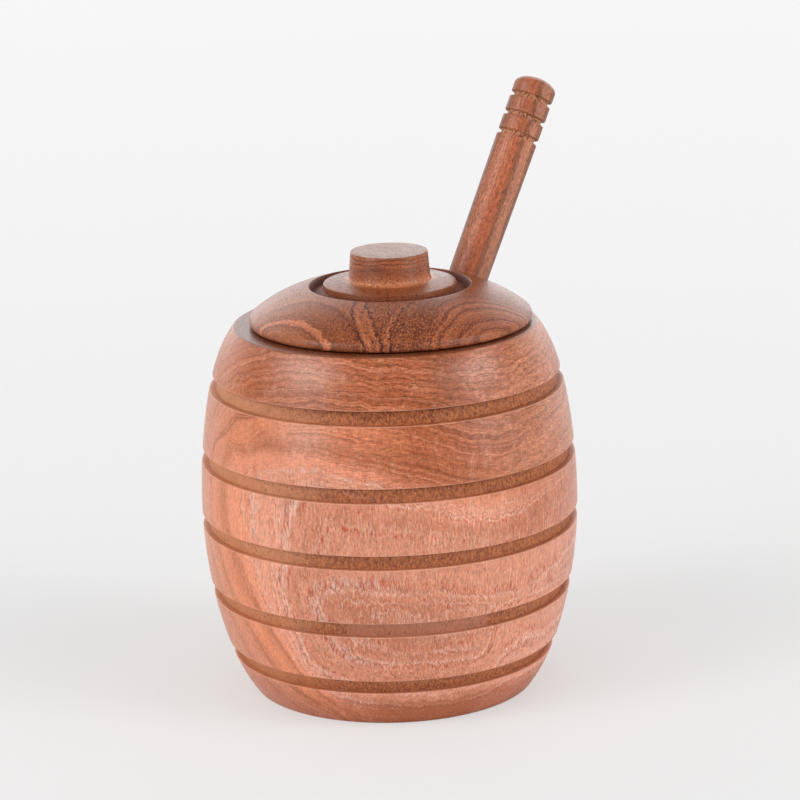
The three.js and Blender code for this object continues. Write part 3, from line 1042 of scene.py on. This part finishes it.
def lid_knob(w, colour, at):
    """The knob's level layers, with its duller end grain on top."""
    bands = w.tint(w.ramp(w.weighted(at, KNOB_WAVES), KNOB_LAYERS), w.weighted(at, KNOB_TINT))
    bands = w.areas(bands, at, KNOB_SMUDGE)
    colour = w.lay(colour, w.within(at, KNOB_LIMITS), bands, KNOB_SHARE)
    at["gritty"] = w.weighted(at, END_GRAIN_FLOW)
    end_grain = w.mix(w.within(at, END_GRAIN_LIMITS), *END_GRAIN)
    return w.mix(w.within(at, KNOB_TOP_LIMITS), colour, w.areas(end_grain, at, END_GRAIN_AREAS))


def lid_wood():
    w = Wiring(bpy.data.materials.new("lid_wood"))
    point = w.in_millimetres(w.vector("SUBTRACT", w.object_place(), (LID_SHIFT * MM, 0, 0)))
    x, y, z = w.axes(point)
    along = w.node("CombineXYZ", {0: x, 1: z, 2: y}).outputs[0]
    at = w.grains(point, LID_GRAINS)
    at.update(w.grains(along, LID_LINE_GRAINS))
    at.update(x=x, z=z, radius=w.hypot(x, y), front=w.times(y, -1), over=w.less(z, KNOB_FOOT), cut=w.cut())
    at["rough_cut"] = w.times(at["rough"], at["cut"])
    jagged = w.weighted(at, LID_JAG)
    across = w.plus(x, w.times(at["sway"], LID_SWAY), jagged)
    at["saddle"] = w.times(across, w.plus_times(y, at["wave"], LID_WAVE), -1.0)
    colour = w.areas(w.ramp(at["saddle"], LID_LAYERS), at, LID_VEIL)
    colour = lid_cracks(w, colour, at, jagged)
    line = w.times(w.year_lines(at["saddle"], *LID_YEARS), w.within(at, LID_YEAR_LIMITS))
    # Year lines, then painted sheen lightening the lid's left side
    colour = w.areas(w.mix(line, colour, LID_YEAR_COLOUR), at, LID_LEFT_SHEEN)

    # Turning marks, fine fibres and dark pores
    at["mark"] = w.noise(w.plus_times(at["radius"], z, TURNING_SLANT), *TURNING_MARKS, line=True)
    at["thread"] = w.noise(w.plus_times(at["saddle"], at["hair"], THREAD_JAG), *THREADS, line=True)
    colour = w.tint(colour, w.weighted(at, LID_TINT))
    coarse = w.plus(w.within(at, COARSE_LIMITS), COARSE_BASE)
    colour = w.mix(w.times(w.spread(at["grit"], *LIGHT_GRIT), coarse), colour, LIGHT_GRIT_COLOUR)
    at["pit"] = w.times(w.spread(at["grit"], *DARK_GRIT), coarse)
    colour = w.lay(colour, at["pit"], *DARK_GRIT_TONE)

    colour = lid_knob(w, colour, at)
    rough = w.mix(w.within(at, LID_ROUGH_LIMITS), *LID_ROUGH)
    colour = w.lay(colour, at["cut"], rough, LID_CUT_SHARE)
    # Painted shade low in the moat
    colour = w.areas(colour, at, MOAT_PAINTED_SHADE)
    chips = w.times(w.pores(point, *CHIPS), w.within(at, CHIP_LIMITS))
    return w.finish(w.mix(chips, colour, CHIP_COLOUR), at, *LID_SURFACE)


# Dipper: straight grain along the handle, with darker streaks right of its middle and at its edges

DIPPER_GRAIN_TURN = math.radians(44)

# Seen colours across the handle, in millimetres to the right of its middle
DIPPER_LAYERS = (
    (-7, (120, 68, 46)), (-5.4, (128, 74, 50)), (-4.4, (172, 105, 76)),
    (-2.4, (184, 113, 83)), (-0.8, (182, 105, 75)), (0.6, (178, 101, 71)),
    (1.5, (142, 86, 62)), (2.2, (148, 90, 66)), (3, (178, 114, 86)),
    (4.2, (186, 124, 96)), (5, (136, 80, 56)), (7, (112, 62, 42)),
)
DIPPER_GRAINS = {
    "sway": ((1, 1, 0.12), 0.3, 2),
    "jag": ((1, 1, 0.1), 1.2, 3, 0.65),
    "hair": ((1, 1, 0.12), 2.2, 3, 0.8),
    "speckle": ((1, 1, 0.5), 2, 2, 0.85),
}
DIPPER_WAVES = {"aside": 1, "sway": 1.5, "jag": 0.9}
DIPPER_THIN_JAG = 0.3
DIPPER_THIN = (1.6, 3, 0.7)
DIPPER_TINT = {"speckle": 1.1, "hair": 0.6, "thin": 0.45}
DIPPER_PITS = (0.6, 2.2, 0.3)
DIPPER_PIT_TONE = ((104, 52, 32), 0.55)
DULL_PLACES = ((DIPPER_TOP - 30, DIPPER_TOP - 62), (DIPPER_TOP - 18, DIPPER_TOP - 12))
DULL_TONE = ((130, 76, 54), 0.3)
DIPPER_ROUGH = ((112, 60, 36), (226, 168, 128))
DIPPER_ROUGH_LIMITS = (("speckle", -0.25, 0.25),)
DIPPER_CUT_SHARE = 0.65
DIPPER_SURFACE = (0.36, {"cut": 0.3, "pit": 0.2}, {"hair": 0.6, "pit": -0.7, "speckle": 0.3}, 0.05)


def dipper_wood():
    w = Wiring(bpy.data.materials.new("dipper_wood"))
    back = (lid_placement() @ dipper_placement()).inverted()
    turn = {"Location": back.to_translation(), "Rotation": back.to_euler()}
    upright = w.node("Mapping", {"Vector": w.object_place(), **turn})
    point = w.in_millimetres(upright.outputs[0])
    at = w.grains(point, DIPPER_GRAINS)
    across = (math.cos(DIPPER_GRAIN_TURN), -math.sin(DIPPER_GRAIN_TURN), 0.0)
    at["aside"] = w.vector("DOT_PRODUCT", point, across)
    layer = w.weighted(at, DIPPER_WAVES)
    jagged = w.plus_times(layer, at["hair"], DIPPER_THIN_JAG)
    at["thin"] = w.noise(jagged, *DIPPER_THIN, line=True)
    colour = w.tint(w.ramp(layer, DIPPER_LAYERS), w.weighted(at, DIPPER_TINT))
    at["pit"] = w.pores(point, *DIPPER_PITS)
    colour = w.lay(colour, at["pit"], *DIPPER_PIT_TONE)

    # Duller towards the lid and on the rings
    dull = w.most(*(w.spread(w.axes(point)[2], *places) for places in DULL_PLACES))
    colour = w.lay(colour, dull, *DULL_TONE)
    at["cut"] = w.cut()
    rough = w.mix(w.within(at, DIPPER_ROUGH_LIMITS), *DIPPER_ROUGH)
    return w.finish(w.lay(colour, at["cut"], rough, DIPPER_CUT_SHARE), at, *DIPPER_SURFACE)


# Stage, lights and camera

FLOOR_RADIUS = 4.0
FLOOR_SIDES = 64
# The floor's tones by distance from the object
FLOOR_TONES = ((0.0, 240), (0.1, 240), (0.25, 241), (0.5, 244), (1.4, 249))
FLOOR_OWN_TONE = 0.5
AMBIENT_LIGHT = 0.425
# What gloss mirrors, by how far behind the object it looks
MIRRORED = {"From Min": 0.3, "From Max": 0.8, "To Min": 0.12, "To Max": 1.15}
BACKDROP_LIGHT = 0.93
CAMERA_ELEVATION = math.radians(14.51)
CAMERA_DISTANCE = 0.9
CAMERA_AIM = (0.00342, 0.0, 0.07706)
CAMERA_ROLL = math.radians(-1.52)
CAMERA_LENS = 152.93
CAMERA_SENSOR = 36.0
CAMERA_FAR = 20.0

# Panels of light: azimuth (0 on the camera's side, 90 to its right), elevation, spread and strength
SKY_PANELS = {
    "left_softbox": (-60, 28, 56, 0.95),
    "right_softbox": (66, 26, 56, 0.9),
    "left_strip_high": (-62, 34, 18, 0.42),
    "left_strip_low": (-56, 8, 18, 0.25),
    "right_strip_high": (68, 31, 18, 0.45),
    "right_strip_low": (64, 6, 16, 0.32),
    "front_panel": (-6, 34, 90, 0.15),
    "back_left_panel": (-138, 14, 60, 0.45),
    "back_right_panel": (150, 10, 60, 0.38),
    "back_panel": (180, 16, 50, 0.25),
}


def make_stage():
    """A plain pale floor, whiter away from the object; the camera sees it partly at its own tone."""
    mesh = bpy.data.meshes.new("floor")
    turns = [2 * math.pi * k / FLOOR_SIDES for k in range(FLOOR_SIDES)]
    corners = [(FLOOR_RADIUS * math.cos(t), FLOOR_RADIUS * math.sin(t), 0.0) for t in turns]
    mesh.from_pydata(corners, [], [list(range(FLOOR_SIDES))])
    floor = placed("floor", mesh)
    w = Wiring(bpy.data.materials.new("floor"))
    tone = w.ramp(w.vector("LENGTH", w.object_place()), FLOOR_TONES, grey)
    lit = w.node("BsdfDiffuse", {"Color": tone}).outputs[0]
    plain = w.node("Emission", {"Color": tone, "Strength": 1.0}).outputs[0]
    own = w.times(w.node("LightPath").outputs["Is Camera Ray"], FLOOR_OWN_TONE)
    shader = w.node("MixShader", {0: own, 1: lit, 2: plain})
    w.node("OutputMaterial", {"Surface": shader.outputs[0]})
    mesh.materials.append(w.holder)


def make_world():
    """Pale surroundings for the camera and, mostly behind, for gloss; a softer level lights the object."""
    world = bpy.data.worlds.new("studio")
    bpy.context.scene.world = world
    w = Wiring(world)
    rays = w.node("LightPath").outputs
    behind = w.axes(w.node("TexCoord").outputs["Generated"])["Y"]
    mirrored = w.node("MapRange", {"Value": behind, **MIRRORED}).outputs["Result"]
    gloss = w.node("Mix", {"Factor": rays["Is Glossy Ray"], "A": AMBIENT_LIGHT, "B": mirrored})
    gloss = gloss.outputs["Result"]
    level = w.node("Mix", {"Factor": rays["Is Camera Ray"], "A": gloss, "B": BACKDROP_LIGHT})
    light = w.node("Background", {"Color": (1, 1, 1, 1), "Strength": level.outputs["Result"]})
    w.node("OutputWorld", {"Surface": light.outputs[0]})


def make_sky_panel(name, azimuth, elevation, spread, strength):
    """A broad far panel of light, placed in degrees."""
    lamp = bpy.data.lights.new(name, "SUN")
    lamp.energy = strength
    lamp.angle = math.radians(spread)
    holder = placed(name, lamp)
    a, e = math.radians(azimuth), math.radians(elevation)
    away = Vector((math.sin(a) * math.cos(e), -math.cos(a) * math.cos(e), math.sin(e)))
    holder.rotation_euler = away.to_track_quat("Z", "Y").to_euler()


def make_camera():
    """The photograph's viewpoint, with its slight roll."""
    data = bpy.data.cameras.new("camera")
    data.lens = CAMERA_LENS
    data.sensor_width = CAMERA_SENSOR
    data.clip_end = CAMERA_FAR
    camera = placed("camera", data)
    back = Vector((0, -math.cos(CAMERA_ELEVATION), math.sin(CAMERA_ELEVATION)))
    place = Matrix.Translation(Vector(CAMERA_AIM) + back * CAMERA_DISTANCE)
    look = Matrix.Rotation(math.pi / 2 - CAMERA_ELEVATION, 4, "X")
    camera.matrix_world = place @ look @ Matrix.Rotation(CAMERA_ROLL, 4, "Z")
    bpy.context.scene.camera = camera


def make_piece(piece, body, node, material, angle):
    """Shades a piece smoothly, with sharp edges past an angle in degrees, and ties it to the frame."""
    mesh = piece.data
    mesh.polygons.foreach_set("use_smooth", [True] * len(mesh.polygons))
    mesh.set_sharp_from_angle(angle=math.radians(angle))
    mesh.materials.clear()
    mesh.materials.append(material)
    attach(piece, body)
    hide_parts(node)


make_camera()
make_world()
make_stage()
for panel, numbers in SKY_PANELS.items():
    make_sky_panel(panel, *numbers)

pot = turned("pot_turned", pot_profile(), POT_SEGMENTS)
make_piece(pot, "pot", "pot_body", pot_wood(), SHARP_ANGLE)

lid = bored(turned("lid_turned", lid_profile(), LID_SEGMENTS))
lid.data.transform(lid_placement())
make_piece(lid, "lid", "lid", lid_wood(), LID_SHARP_ANGLE)

dipper = turned("dipper_turned", dipper_profile(), DIPPER_SEGMENTS)
dipper.data.transform(lid_placement() @ dipper_placement())
make_piece(dipper, "dipper", "dipper", dipper_wood(), SHARP_ANGLE)

bpy.context.scene.view_settings.view_transform = "Standard"
